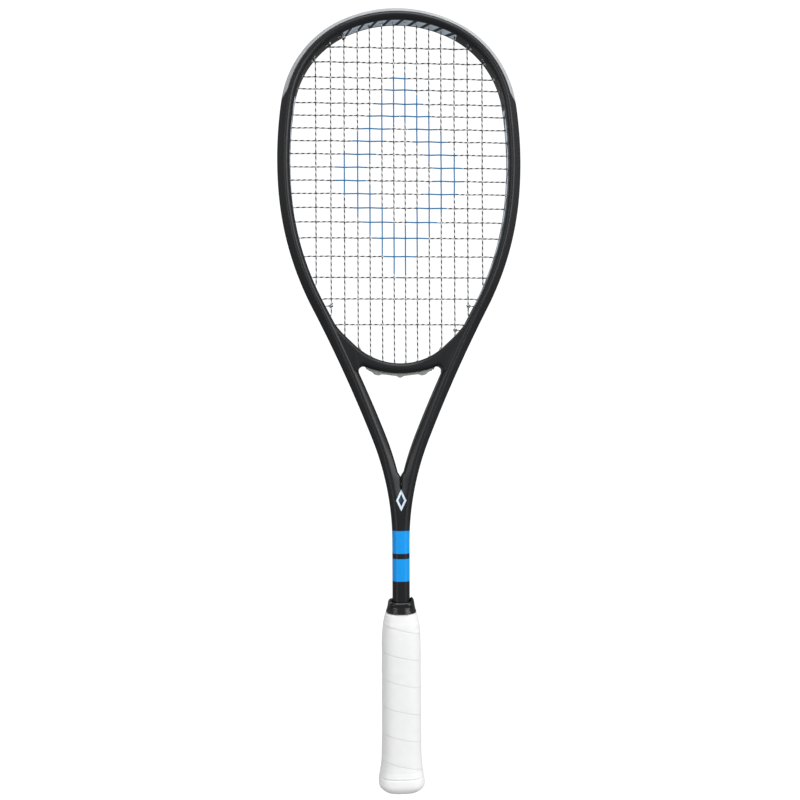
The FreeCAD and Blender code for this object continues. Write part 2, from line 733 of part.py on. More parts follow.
def build_all():
    envelope = frame_envelope()
    front, back = build_pallets()
    return {
        "frame_tube": build_frame(envelope),
        "throat_bridge": build_bridge(envelope),
        "head_bumper": build_bumper(),
        "side_grommets_left": build_side_grommets(-1),
        "side_grommets_right": build_side_grommets(1),
        "throat_grommets": build_throat_grommets(),
        "main_string": build_main_string(),
        "cross_string": build_cross_string(),
        "main_string_knots": Part.makeCompound([knot("main", -1), knot("main", 1)]),
        "cross_string_knots": Part.makeCompound([knot("cross_low", 1), knot("cross_top", -1)]),
        "handle_pallet_front": front,
        "handle_pallet_back": back,
        "butt_cap": build_butt_cap(),
        "butt_cap_staples": Part.makeCompound([staple(-1), staple(1)]),
        "base_grip": build_grip(),
        "finishing_tape": build_tape(),
        "rubber_collar": build_collar(),
    }


os.makedirs("parts", exist_ok=True)
for node, shape in build_all().items():
    box = shape.BoundBox
    print(node, "valid", shape.isValid(), "solids", len(shape.Solids), "volume", round(shape.Volume),
          "box", [round(v, 1) for v in (box.XMin, box.YMin, box.ZMin, box.XMax, box.YMax, box.ZMax)])
    shape.exportStep("parts/" + node + ".step")
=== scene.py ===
"""Looks of the squash racket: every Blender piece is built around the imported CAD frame, in metres."""
import math

import bmesh
import bpy
from mathutils import Matrix, Vector, noise


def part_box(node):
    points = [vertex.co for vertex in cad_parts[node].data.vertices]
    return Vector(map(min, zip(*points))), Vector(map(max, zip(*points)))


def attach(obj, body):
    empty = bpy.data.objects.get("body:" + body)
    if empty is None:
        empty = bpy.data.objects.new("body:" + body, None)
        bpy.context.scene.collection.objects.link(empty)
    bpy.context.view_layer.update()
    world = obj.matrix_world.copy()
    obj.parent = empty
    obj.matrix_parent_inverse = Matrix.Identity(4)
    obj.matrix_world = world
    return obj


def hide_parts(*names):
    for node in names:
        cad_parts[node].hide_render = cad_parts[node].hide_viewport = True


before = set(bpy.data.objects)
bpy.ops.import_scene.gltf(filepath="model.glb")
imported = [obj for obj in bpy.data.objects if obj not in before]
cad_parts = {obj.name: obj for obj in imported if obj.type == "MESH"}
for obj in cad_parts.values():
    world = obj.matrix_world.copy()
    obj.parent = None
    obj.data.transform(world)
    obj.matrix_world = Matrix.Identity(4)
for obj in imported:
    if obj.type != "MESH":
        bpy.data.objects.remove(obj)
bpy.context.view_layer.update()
MM = 0.001

# ------------------------ sizes, in millimetres

HEAD_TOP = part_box("head_bumper")[1][2] / MM
# Outer edge of one half of the frame: radius, turn in degrees, 1 bulging or -1 hollow.
OUTLINE = (
    (118.6, 25.07, 1),
    (93.1, 56.32, 1),
    (352.5, 12.96, 1),
    (265.2, 22.93, 1),
    (1241.0, 5.91, -1),
    (246.8, 21.37, -1),
)
HOOP_ARCS = 4
SHAFT_END = 148.0           # the shaft shows down to the collar; the rest is inside the handle
# Height, half depth of the outer flat, inset and half depth of the ridge, thickness and half
# depth of the inner face.
SECTIONS = (
    (220.0, 5.6, 3.0, 8.75, 12.3, 8.75),
    (265.0, 5.6, 4.6, 9.3, 12.3, 6.8),
    (310.0, 5.2, 6.2, 9.8, 12.3, 5.2),
    (370.0, 4.8, 6.9, 10.3, 12.0, 6.6),
    (425.0, 4.6, 7.4, 11.0, 11.0, 8.0),
)
STATION = 3.0               # spacing of the rings along the frame
BUMPER_END_Z = 602.0
BUMPER_TAPER = 13.0         # the seat under the bumper runs out over this length
SEAT = 3.95                 # depth of the bumper's seat and of the string channel
CHANNEL_HALF = 3.2
CHANNEL_END_Z = 384.0
SHAFT_HALF = 7.4
CROTCH_R = 2.5              # round at the bottom of the throat's V
CROTCH_RIB_END = 267.5
PLAIN_RUN, PLAIN_INSET = 0.44, 6.0      # attributes of a surface that no mark reaches

STRING_R, STRING_SIDES = 0.6, 10
KNOT_R, KNOT_SIDES = 0.52, 8
STRING_IN, STRING_OUT = 12.0, 1.3       # inset of a string hole's two ends
MAIN_LANE, CROSS_LANE = -0.75, 0.75     # the mains' and the crosses' holes lie side by side
WEAVE, WEAVE_CUT, PORT_CUT = 0.74, 0.11, 0.35       # how far each string bows, and its rounds
PORT_GAP = 3.9              # least distance between two string holes
FRAME_CLEAR = 0.8           # strings cross no nearer to the frame than this
MAINS_X = (5.0, 15.4, 26.1, 36.8, 48.5, 60.3, 73.4)
CROSSES_Z = (
    652.4, 639.2, 625.8, 615.5, 603.2, 592.4, 581.1, 570.1, 558.6, 547.1,
    535.4, 523.9, 511.5, 499.0, 485.0, 468.8, 450.3, 431.5, 408.9,
)
BRIDGE_MAINS = 4
TIE_OFFS = {"main": 425.2, "cross_low": 404.0, "cross_top": 660.4}
KNOT_HOLDERS = {("main", -1): 1, ("main", 1): 12, ("cross_low", 1): 11, ("cross_top", -1): 2}
BRIDGE_TOP, BRIDGE_LOW = (374.7, 57.4), (365.9, 88.7)       # lowest height and radius of each edge
BRIDGE_HALF_DEPTH = 8.9
BRIDGE_END_Z = 414.0        # where the bar's upper edge has run into the hoop
MAIN_4_EXIT_X = 27.8        # the fourth main leans in inside the bar, to end in the strip
THROAT_CORNER = (32.4, 367.9, 4.2)      # centre and radius of the throat's upper corners
# Distance from the middle and drop of the throat strip's lower edge
THROAT_WAVES = (
    (0.0, 3.7), (4.2, 2.1), (12.0, 1.9), (15.5, 2.1), (19.5, 3.8), (22.0, 3.8), (25.5, 2.1), (29.3, 0.8),
)
STRIP_SLOTS = ((4.0, 16.4), (25.2, 28.2))       # where string loops lie in the strip
BARREL_ROOT, BARREL_TIP = 3.0, 11.35            # insets of a bumper barrel's ends


# ------------------------ outline of the frame

def build_outline():
    arcs = []
    x, z, heading = 0.0, HEAD_TOP, 0.0
    for radius, degrees, sense in OUTLINE:
        turn = math.radians(degrees) * sense
        centre = (x - sense * radius * math.sin(heading), z - sense * radius * math.cos(heading))
        arcs.append((radius, turn, sense, centre, heading))
        heading += turn
        x = centre[0] + sense * radius * math.sin(heading)
        z = centre[1] + sense * radius * math.cos(heading)
    return arcs


ARCS = build_outline()
FRAME_END = float(len(ARCS))
LENGTHS = [radius * abs(turn) for radius, turn, _, _, _ in ARCS]


def on_frame(t, inset=0.0, y=0.0, side=1):
    """Point on the outline, in mm. t is the arc's number plus the share of it that is passed."""
    number = min(int(t), len(ARCS) - 1)
    radius, turn, sense, centre, start = ARCS[number]
    heading = start + turn * (t - number)
    reach = radius - sense * inset
    x = centre[0] + sense * reach * math.sin(heading)
    return Vector((side * x, y, centre[1] + sense * reach * math.cos(heading)))


def bisect(below, low, high):
    for _ in range(50):
        middle = (low + high) / 2
        low, high = (middle, high) if below(middle) else (low, middle)
    return (low + high) / 2


def at_height(z, inset=0.0):
    return bisect(lambda t: on_frame(t, inset).z > z, 0.0, FRAME_END)


def along(t):
    number = min(int(t), len(ARCS) - 1)
    return sum(LENGTHS[:number]) + LENGTHS[number] * (t - number)


def t_along(length):
    return bisect(lambda t: along(t) < length, 0.0, FRAME_END)


WIDEST = bisect(lambda t: on_frame(t + 1e-6).x > on_frame(t).x, 0.0, HOOP_ARCS)
BUMPER_END = along(at_height(BUMPER_END_Z))
CHANNEL_END = along(at_height(CHANNEL_END_Z))


def smooth(low, high, value):
    share = min(1.0, max(0.0, (value - low) / (high - low)))
    return share * share * (3 - 2 * share)


def section_at(z):
    low = SECTIONS[0]
    if z <= low[0]:
        return low[1:]
    for high in SECTIONS[1:]:
        if z <= high[0]:
            share = smooth(low[0], high[0], z)
            return tuple(a + (b - a) * share for a, b in zip(low[1:], high[1:]))
        low = high
    return low[1:]


# ------------------------ mesh helpers

def rounded(corners, steps=5):
    """Points along a chain of (u, v, radius) corners, each rounded with the same number of points."""
    points = [Vector(corners[0][:2])]
    for before, corner, after in zip(corners, corners[1:], corners[2:]):
        here = Vector(corner[:2])
        back, ahead = Vector(before[:2]) - here, Vector(after[:2]) - here
        reach = min(corner[2], 0.45 * back.length, 0.45 * ahead.length)
        start = here + back.normalized() * reach if back.length else here
        end = here + ahead.normalized() * reach if ahead.length else here
        for k in range(steps):
            share = k / (steps - 1)
            points.append(start.lerp(here, share).lerp(here.lerp(end, share), share))
    points.append(Vector(corners[-1][:2]))
    return points


def grid_faces(rings, around, close_ends=(False, False)):
    faces = []
    for r in range(rings - 1):
        for k in range(around):
            following = (k + 1) % around
            faces.append((r * around + k, r * around + following,
                          (r + 1) * around + following, (r + 1) * around + k))
    if close_ends[0]:
        faces.append(tuple(reversed(range(around))))
    if close_ends[1]:
        faces.append(tuple(range((rings - 1) * around, rings * around)))
    return faces


def add_object(name, data):
    made = bpy.data.objects.new(name, data)
    bpy.context.scene.collection.objects.link(made)
    return made


def whole_ring(half):
    """A half ring at the front, and the same again at the back."""
    return half + [Vector((p.x, -p.y, p.z)) for p in half[-2:0:-1]]


def make_piece(name, points, faces, material, body, attributes=None, sharp=40.0):
    """A mesh object from points in mm. Attributes are {name: one number or triple for each point}."""
    mesh = bpy.data.meshes.new(name)
    mesh.from_pydata([Vector(p) * MM for p in points], [], faces)
    for key, values in (attributes or {}).items():
        if isinstance(values[0], (tuple, list, Vector)):
            layer = mesh.attributes.new(key, "FLOAT_VECTOR", "POINT")
            layer.data.foreach_set("vector", [c for v in values for c in v])
        else:
            layer = mesh.attributes.new(key, "FLOAT", "POINT")
            layer.data.foreach_set("value", values)
    piece = add_object(name, mesh)
    tidy_mesh(mesh, sharp)
    mesh.materials.append(material)
    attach(piece, body)
    return piece


def tidy_mesh(mesh, sharp):
    """Welds equal points, drops empty faces, turns faces outwards and marks sharp edges."""
    bm = bmesh.new()
    bm.from_mesh(mesh)
    bmesh.ops.remove_doubles(bm, verts=bm.verts, dist=2e-6)
    bmesh.ops.dissolve_degenerate(bm, edges=bm.edges, dist=1e-7)
    bmesh.ops.recalc_face_normals(bm, faces=bm.faces)
    for face in bm.faces:
        face.smooth = True
    bm.to_mesh(mesh)
    bm.free()
    mesh.set_sharp_from_angle(angle=math.radians(sharp))


# ------------------------ frame shell

def seat_depth(length):
    """How far the frame is cut back under the bumper, at a distance from the top of the head."""
    return SEAT * (1 - smooth(BUMPER_END - BUMPER_TAPER, BUMPER_END, length))


def channel_depth(length):
    return SEAT * (1 - smooth(CHANNEL_END - 5.0, CHANNEL_END, length))


def frame_profile(length, z):
    """Half ring from the outer middle to the inner middle, as (inset, half depth)."""
    flat, ridge_in, ridge, thick, inner = section_at(z)
    seat = seat_depth(length)
    floor = max(channel_depth(length), seat + 0.02)
    edge = flat + (ridge - flat) * seat / ridge_in
    return rounded((
        (floor, 0, 0), (floor, CHANNEL_HALF, 0.3), (seat, CHANNEL_HALF, 0.35), (seat, edge, 1.2),
        (ridge_in, ridge, 2.9), (thick, inner, 2.4), (thick, 0, 0),
    ), 6)


def crotch_lines():
    """Where the arms' inner sides would meet, and how fast they part above that."""
    thick = section_at(270.0)[3]
    foot_t = bisect(lambda t: on_frame(t, thick).x > 0, HOOP_ARCS, FRAME_END)
    foot, above = on_frame(foot_t, thick), on_frame(foot_t - 0.12, thick)
    return foot.z, above.x / (above.z - foot.z)


CROTCH_FOOT, CROTCH_SLOPE = crotch_lines()
CROTCH_LEAN = math.sin(math.atan(CROTCH_SLOPE))
CROTCH_CENTRE = CROTCH_FOOT + CROTCH_R / CROTCH_LEAN


def fill_crotch(point, share):
    """Moves the inner side of an arm in, so that the V ends in a small round."""
    if not CROTCH_FOOT < point.z < CROTCH_CENTRE - CROTCH_R * CROTCH_LEAN:
        return point
    below = CROTCH_CENTRE - point.z
    wanted = math.sqrt(CROTCH_R ** 2 - below ** 2) if below < CROTCH_R else 0.0
    gap = point.x if share >= 1 else CROTCH_SLOPE * (point.z - CROTCH_FOOT)
    return point - Vector((share ** 2 * max(0.0, gap - wanted), 0, 0))


def crown(point):
    """Rounds the shaft's front and back a little, so that they aren't flat."""
    share = 1 - smooth(232.0, 262.0, point.z)
    point.y *= 1 - 0.07 * share * (point.x / SHAFT_HALF) ** 2
    return point


def cut_at_middle(ring):
    """Ends a half ring where it meets the other leg, at x = 0."""
    for k in range(1, len(ring)):
        if ring[k].x <= 0 < ring[k - 1].x:
            share = ring[k - 1].x / (ring[k - 1].x - ring[k].x)
            meet = ring[k - 1].lerp(ring[k], share)
            last = Vector((0, 0, ring[-1].z))
            count = len(ring) - k
            rest = [meet.lerp(last, j / max(1, count - 1)) for j in range(count)]
            return ring[:k] + rest
    return ring


def frame_half_rings():
    total = sum(LENGTHS)
    stations = [total * k / round(total / STATION) for k in range(round(total / STATION) + 1)]
    rings = []
    for length in stations:
        t = t_along(length) if 0 < length < total else (0.0 if length <= 0 else FRAME_END)
        z = on_frame(t).z
        ridge_in, thick = section_at(z)[1], section_at(z)[3]
        ring, insets = [], []
        for u, v in frame_profile(length, z):
            share = max(0.0, (u - ridge_in) / (thick - ridge_in))
            ring.append(crown(fill_crotch(on_frame(t, u, v), share)))
            insets.append(u)
        rings.append((cut_at_middle(ring), length, insets))
    last, length, insets = rings[-1]
    for z in (200.0, 185.0, 170.0, SHAFT_END):
        down = on_frame(FRAME_END).z - z
        rings.append(([p - Vector((0, 0, down)) for p in last], length + down, insets))
    return rings


def build_frame_shell(material):
    points, faces, run, inset = [], [], [], []
    for side in (1, -1):
        base = len(points)
        rings = frame_half_rings()
        for ring, length, insets in rings:
            points += whole_ring([Vector((side * p.x, -p.y, p.z)) for p in ring])
            inset += insets + insets[-2:0:-1]
            run += [side * length * MM] * (len(inset) - len(run))
        around = 2 * len(rings[0][0]) - 2
        for face in grid_faces(len(rings), around):
            corners = [points[base + k] for k in face]
            if not all(abs(c.x) < 1e-6 for c in corners):
                faces.append(tuple(base + k for k in face))
    add_mould_rib(points, faces, run, inset)
    shell = make_piece("frame_shell", points, faces, material, "racket",
                       {"run": run, "inset": inset}, sharp=50.0)
    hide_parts("frame_tube")


def add_mould_rib(points, faces, run, inset):
    """Thin moulding line in the notch under the V, ending in a small drop, front and back."""
    top = CROTCH_CENTRE - CROTCH_R - 1.0
    floor = section_at(CROTCH_FOOT)[4]
    rings, sides = 17, 10
    for side in (-1, 1):
        base = len(points)
        for k in range(rings):
            z = top + (CROTCH_RIB_END - top) * k / (rings - 1)
            wide = 0.38 + 0.42 * smooth(10, 14, k) - 0.75 * smooth(14.5, 16, k)
            depth = floor - 0.1 + 0.9 * smooth(CROTCH_FOOT + 2, CROTCH_RIB_END, z)
            for j in range(sides):
                angle = 2 * math.pi * j / sides
                points.append(Vector((wide * math.cos(angle), side * (depth + wide * math.sin(angle)), z)))
                run.append(PLAIN_RUN)
                inset.append(PLAIN_INSET)
        faces += [tuple(base + k for k in face) for face in grid_faces(rings, sides, (True, True))]


# ------------------------ throat bridge

def bridge_edge(edge, x):
    height, radius = edge
    return height + radius - math.sqrt(radius ** 2 - x ** 2)


def hermite(start, start_slope, end, end_slope, share):
    a, b = share * share * (3 - 2 * share), share * (1 - share) ** 2
    return start * (1 - a) + end * a + start_slope * b - end_slope * share * share * (1 - share)


def bridge_stations():
    """Upper and lower edge points of the bar's right half, from its middle to its end in the arm."""
    cx, cz, r = THROAT_CORNER
    lower = [Vector((x, 0, bridge_edge(BRIDGE_LOW, x))) for x in (30.4 * k / 14 for k in range(15))]
    for k in range(1, 13):
        angle = math.radians(115 - 136 * k / 12)
        lower.append(Vector((cx + r * math.cos(angle), 0, cz + r * math.sin(angle))))
    for k in range(12):
        lower.append(on_frame(at_height(364 + 50 * k / 11, 6.4), 6.4))
    upper = [Vector((p.x, 0, bridge_edge(BRIDGE_TOP, p.x))) for p in lower[:15]]
    start_x, end_t = 40.0, at_height(BRIDGE_END_Z, STRING_IN)
    for k in range(1, 13):
        x = upper[14].x + (start_x - upper[14].x) * k / 12
        upper.append(Vector((x, 0, bridge_edge(BRIDGE_TOP, x))))
    thick = section_at(BRIDGE_END_Z)[3] - 0.1
    end = on_frame(end_t, thick)
    reach = (end - upper[-1]).length
    radius = BRIDGE_TOP[1]
    start_slope = Vector((math.sqrt(radius ** 2 - start_x ** 2), 0, start_x)).normalized() * reach
    end_slope = (on_frame(end_t - 0.01, thick) - end).normalized() * reach
    start = upper[-1]
    upper += [hermite(start, start_slope, end, end_slope, (k + 1) / 12) for k in range(12)]
    return list(zip(upper, lower))


def build_bridge_shell(material):
    """Bar between the arms; both its edges run on smoothly into the arms' inner sides."""
    right = bridge_stations()
    mirror = Vector((-1, 1, 1))
    stations = [(a * mirror, b * mirror) for a, b in right[:0:-1]] + right
    depth, bevel = BRIDGE_HALF_DEPTH, 2.6
    points = []
    for top, low in stations:
        height = (top - low).length
        chain = rounded(((0, 0, 0), (0, depth - bevel, 1.4), (bevel, depth, 1.8),
                         (height - bevel, depth, 1.8), (height, depth - bevel, 1.4), (height, 0, 0)))
        ring = [top.lerp(low, u / height) - Vector((0, v, 0)) for u, v in chain]
        points += whole_ring(ring)
    around = len(points) // len(stations)
    shell = make_piece("bridge_shell", points, grid_faces(len(stations), around, (True, True)),
                       material, "racket",
                       {"run": [PLAIN_RUN] * len(points), "inset": [PLAIN_INSET] * len(points)}, sharp=50.0)
    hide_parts("throat_bridge")


# ------------------------ string ports

def sort_ports():
    """Place of every string hole on the outline, moved apart where two would run into each other."""
    found = {}
    for number, x in enumerate(MAINS_X):
        found["top", number] = bisect(lambda t: on_frame(t, STRING_IN).x < x, 0.0, WIDEST)
        if number >= BRIDGE_MAINS:
            low = bisect(lambda t: on_frame(t, STRING_IN).x > x, WIDEST, HOOP_ARCS + 1.0)
            found["low", number] = low
    for number, z in enumerate(CROSSES_Z):
        found["cross", number] = at_height(z, STRING_IN)
    for name, z in TIE_OFFS.items():
        found["tie", name] = at_height(z, STRING_IN)
    order = sorted(found, key=found.get)
    lengths = [along(found[name]) for name in order]
    for _ in range(400):
        for k in range(1, len(order)):
            short = PORT_GAP - (lengths[k] - lengths[k - 1])
            if short > 0:
                lengths[k] += short / 2
                lengths[k - 1] -= short / 2
    return {name: t_along(length) for name, length in zip(order, lengths)}


PORTS = sort_ports()


def lane_of(name):
    return CROSS_LANE if name[0] == "cross" or str(name[1]).startswith("cross") else MAIN_LANE


def port_ends(name, side):
    t, lane = PORTS[name], lane_of(name)
    return on_frame(t, STRING_IN, lane, side), on_frame(t, STRING_OUT, lane, side)


def bridge_ends(number, side):
    x = MAINS_X[number]
    exit_x = MAIN_4_EXIT_X if number == BRIDGE_MAINS - 1 else x
    top = Vector((side * x, MAIN_LANE, bridge_edge(BRIDGE_TOP, x) + 1.0))
    return top, Vector((side * exit_x, MAIN_LANE, bridge_edge(BRIDGE_LOW, exit_x) - 1.48))


def signed_mains():
    count = len(MAINS_X)
    return [(number, -1) for number in reversed(range(count))] + [(number, 1) for number in range(count)]


def main_ends(number, side):
    low = bridge_ends(number, side) if number < BRIDGE_MAINS else port_ends(("low", number), side)
    return port_ends(("top", number), side), low


def crossings():
    """Where mains and crosses meet: x, z and which of them is in front."""
    found = {}
    for column, (number, side) in enumerate(signed_mains()):
        (top, _), (low, _) = main_ends(number, side)
        for row, z in enumerate(CROSSES_Z):
            edge = port_ends(("cross", row), 1)[0].x
            if low.z + FRAME_CLEAR < z < top.z - FRAME_CLEAR and MAINS_X[number] < edge - FRAME_CLEAR:
                found[column, row] = (side * MAINS_X[number], z, (-1) ** (column + row))
    return found


CROSSINGS = crossings()


def main_run(column, upward):
    number, side = signed_mains()[column]
    (top, top_out), (low, low_out) = main_ends(number, side)
    run = [(top_out, PORT_CUT), (top, PORT_CUT)]
    for row in range(len(CROSSES_Z)):
        if (column, row) in CROSSINGS:
            x, z, sign = CROSSINGS[column, row]
            run.append((Vector((x, WEAVE * sign, z)), WEAVE_CUT))
    run += [(low, PORT_CUT), (low_out, PORT_CUT)]
    return run[::-1] if upward else run


def cross_run(row, leftward):
    (left, left_out), (right, right_out) = port_ends(("cross", row), -1), port_ends(("cross", row), 1)
    run = [(left_out, PORT_CUT), (left, PORT_CUT)]
    for column in range(2 * len(MAINS_X)):
        if (column, row) in CROSSINGS:
            x, z, sign = CROSSINGS[column, row]
            run.append((Vector((x, -WEAVE * sign, z)), WEAVE_CUT))
    run += [(right, PORT_CUT), (right_out, PORT_CUT)]
    return run[::-1] if leftward else run


def knot_place(name, side):
    """Middle and direction of the knot that a string's end makes round the nearest run."""
    inner = port_ends(("tie", name), side)[0]
    run = main_run(KNOT_HOLDERS[name, side], upward=False)
    (first, _), (second, _) = run[1:3] if name == "cross_top" else run[-3:-1]
    axis = (second - first).normalized()
    return first + axis * (inner - first).dot(axis), axis


def tie_end(name, side):
    inner, outer = port_ends(("tie", name), side)
    middle, _ = knot_place(name, side)
    tip = middle + (inner - middle).normalized() * 1.0
    return [(outer, PORT_CUT), (inner, PORT_CUT), (tip, 0.0)]


# ------------------------ strings

def string_route(corners):
    """Points along a string: its straight runs, and a few points on the arc at each corner."""
    route = [corners[0][0]]
    for (before, _), (corner, cut), (after, _) in zip(corners, corners[1:], corners[2:]):
        back, ahead = before - corner, after - corner
        half = back.angle(ahead) / 2
        reach = cut * math.cos(half) / max(1e-9, 1 - math.sin(half))
        reach = min(reach, 0.45 * back.length, 0.45 * ahead.length)
        start, end = corner + back.normalized() * reach, corner + ahead.normalized() * reach
        steps = 3 if half > 1.2 else 6
        for k in range(steps + 1):
            share = k / steps
            route.append(start.lerp(corner, share).lerp(corner.lerp(end, share), share))
    route.append(corners[-1][0])
    return route


def tube(route, radius, sides):
    """Rings round a route, without twist, and for each point (cos, sin, distance along)."""
    points, phase, tangents = [], [], []
    for k in range(len(route)):
        before, after = route[max(0, k - 1)], route[min(len(route) - 1, k + 1)]
        tangents.append((after - before).normalized())
    normal = tangents[0].orthogonal().normalized()
    distance = 0.0
    for k, centre in enumerate(route):
        if k:
            distance += (centre - route[k - 1]).length
            normal = tangents[k - 1].rotation_difference(tangents[k]) @ normal
        normal = (normal - tangents[k] * normal.dot(tangents[k])).normalized()
        across = tangents[k].cross(normal)
        for j in range(sides):
            angle = 2 * math.pi * j / sides
            points.append(centre + (normal * math.cos(angle) + across * math.sin(angle)) * radius)
            phase.append((math.cos(angle), math.sin(angle), distance * MM))
    return points, phase


def build_string(name, corners, node, material):
    points, phase = tube(string_route(corners), STRING_R, STRING_SIDES)
    faces = grid_faces(len(points) // STRING_SIDES, STRING_SIDES, (True, True))
    piece = make_piece(name, points, faces, material, "racket", {"strand": phase}, sharp=60.0)
    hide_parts(node)


def build_strings(material):
    corners = tie_end("main", -1)[::-1]
    for column in range(2 * len(MAINS_X)):
        corners += main_run(column, upward=column % 2 == 0)
    build_string("main_string_strand", corners + tie_end("main", 1), "main_string", material)
    corners = tie_end("cross_low", 1)[::-1]
    for count, row in enumerate(reversed(range(len(CROSSES_Z)))):
        corners += cross_run(row, leftward=count % 2 == 0)
    build_string("cross_string_strand", corners + tie_end("cross_top", -1), "cross_string", material)


def knot_route(name, side, tail):
    """String wound twice round its main, crossing itself, then a cut tail."""
    middle, axis = knot_place(name, side)
    outward = Vector((1 if middle.x > 0 else -1, 0, 0))
    outward = (outward - axis * outward.dot(axis)).normalized()
    across = axis.cross(outward)
    route = []
    steps, turns = 40, 2.1
    for k in range(steps + 1):
        angle = 2 * math.pi * turns * k / steps
        lift = (k / steps - 0.5) * 2.1
        reach = 1.17 + 0.1 * math.sin(angle * 0.5)
        route.append(middle + axis * lift + (outward * math.cos(angle) + across * math.sin(angle)) * reach)
    end = route[-1]
    inward = -outward.x / abs(outward.x)
    lift = -1 if name == "cross_top" else 1
    for dx, dy, dz in tail:
        route.append(end + Vector((inward * dx, dy, lift * dz)))
    return route


def build_knots(material):
    long_tail = ((0.9, -0.4, 0.5), (1.6, -0.3, 1.2), (1.3, -0.1, 2.4), (1.9, 0.1, 3.4), (1.7, 0.1, 4.1))
    short_tail = ((0.7, -0.3, 0.3), (1.1, -0.2, 0.9), (1.0, 0.0, 1.5))
    groups = {
        "main_knots": ("main_string_knots", (("main", -1, long_tail), ("main", 1, short_tail))),
        "cross_knots": ("cross_string_knots", (("cross_low", 1, short_tail), ("cross_top", -1, short_tail))),
    }
    for piece_name, (node, knots) in groups.items():
        points, faces, phase = [], [], []
        for name, side, tail in knots:
            ring, turned = tube(knot_route(name, side, tail), KNOT_R, KNOT_SIDES)
            base, rings = len(points), len(ring) // KNOT_SIDES
            faces += [tuple(base + k for k in f) for f in grid_faces(rings, KNOT_SIDES, (True, True))]
            points += ring
            phase += turned
        piece = make_piece(piece_name, points, faces, material, "racket", {"strand": phase}, sharp=60.0)
        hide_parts(node)


# ------------------------ bumper and grommets

def barrel(points, faces, start, end, outer=1.42, inner=0.9):
    """Short tube with a rounded tip at its end, for a string hole."""
    axis = (end - start).normalized()
    normal = axis.orthogonal().normalized()
    across = axis.cross(normal)
    length = (end - start).length
    rim = ((0.0, outer), (length - 0.35, outer), (length - 0.1, outer - 0.1), (length, outer - 0.28),
           (length - 0.05, inner + 0.06), (length - 0.3, inner), (0.0, inner))
    base, sides = len(points), 16
    for height, radius in rim:
        for j in range(sides):
            angle = 2 * math.pi * j / sides
            around = normal * math.cos(angle) + across * math.sin(angle)
            points.append(start + axis * height + around * radius)
    faces += [tuple(base + k for k in face) for face in grid_faces(len(rim), sides)]
    last = base + (len(rim) - 1) * sides
    faces += [(last + j, last + (j + 1) % sides, base + (j + 1) % sides, base + j) for j in range(sides)]


def port_names(side, first, last):
    """String holes between two lengths along one side of the frame."""
    absent = ("tie", "cross_low") if side < 0 else ("tie", "cross_top")
    return [n for n, t in PORTS.items() if first <= along(t) < last and n != absent]


def build_bumper(material):
    """Guard round the head's outside, thinning out at both ends, with its string barrels."""
    flat, ridge_in, ridge = SECTIONS[-1][1:4]
    points, faces = [], []
    count = 2 * round(BUMPER_END / 2.5)
    for k in range(count + 1):
        length = BUMPER_END * (2 * k / count - 1)
        side = 1 if length >= 0 else -1
        t = t_along(abs(length)) if length else 0.0
        thick = max(0.12, seat_depth(abs(length)) - 0.04)
        foot = flat + (ridge - flat) * thick / ridge_in - 0.25
        groove = min(2.6, thick * 0.66)
        half = rounded(((groove, 0, 0), (groove, 1.45, 0.3), (0.0, 1.75, 0.5), (0.0, flat - 0.2, 1.3),
                        (thick, foot, 0.5), (thick, 0, 0)))
        ring = [on_frame(t, u, -v, side) for u, v in half]
        points += whole_ring(ring)
    around = len(points) // (count + 1)
    faces = grid_faces(count + 1, around, (True, True))
    for side in (-1, 1):
        for name in port_names(side, 0, BUMPER_END - 8):
            t, lane = PORTS[name], lane_of(name)
            barrel(points, faces, on_frame(t, BARREL_ROOT, lane, side), on_frame(t, BARREL_TIP, lane, side))
    piece = make_piece("bumper_guard", points, faces, material, "racket", sharp=45.0)
    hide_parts("head_bumper")


def wave_drop(x):
    """How far the throat strip hangs below the bridge, as a smooth curve through its waves."""
    x = abs(x)
    for (x0, d0), (x1, d1) in zip(THROAT_WAVES, THROAT_WAVES[1:]):
        if x <= x1:
            return d0 + (d1 - d0) * smooth(x0, x1, x)
    return THROAT_WAVES[-1][1]


def build_throat_strip(material):
    """Grommet strip under the bridge, with a wavy lower edge and the bridge's string barrels."""
    reach = THROAT_WAVES[-1][0]
    points, faces = [], []
    count = 96
    for k in range(count + 1):
        x = reach * (2 * k / count - 1)
        top = bridge_edge(BRIDGE_LOW, abs(x)) - 0.02
        drop = wave_drop(x)
        slot = any(first < abs(x) < last for first, last in STRIP_SLOTS)
        groove = drop - 0.62 if slot else 0.05
        half = rounded(((drop - groove, 0, 0), (drop - groove, 1.2, 0.2), (drop, 1.5, 0.25),
                        (drop, 2.9, 0.5), (0.0, 3.3, 0.3), (0.0, 0, 0)))
        ring = [Vector((x, -v, top - u)) for u, v in half]
        points += whole_ring(ring)
    around = len(points) // (count + 1)
    faces = grid_faces(count + 1, around, (True, True))
    for side in (-1, 1):
        for number in range(BRIDGE_MAINS):
            top, low = bridge_ends(number, side)
            axis = (top - low).normalized()
            barrel(points, faces, low + axis * 1.0, top - axis * 0.6)
    piece = make_piece("throat_strip", points, faces, material, "racket", sharp=45.0)
    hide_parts("throat_grommets")


# ------------------------ handle

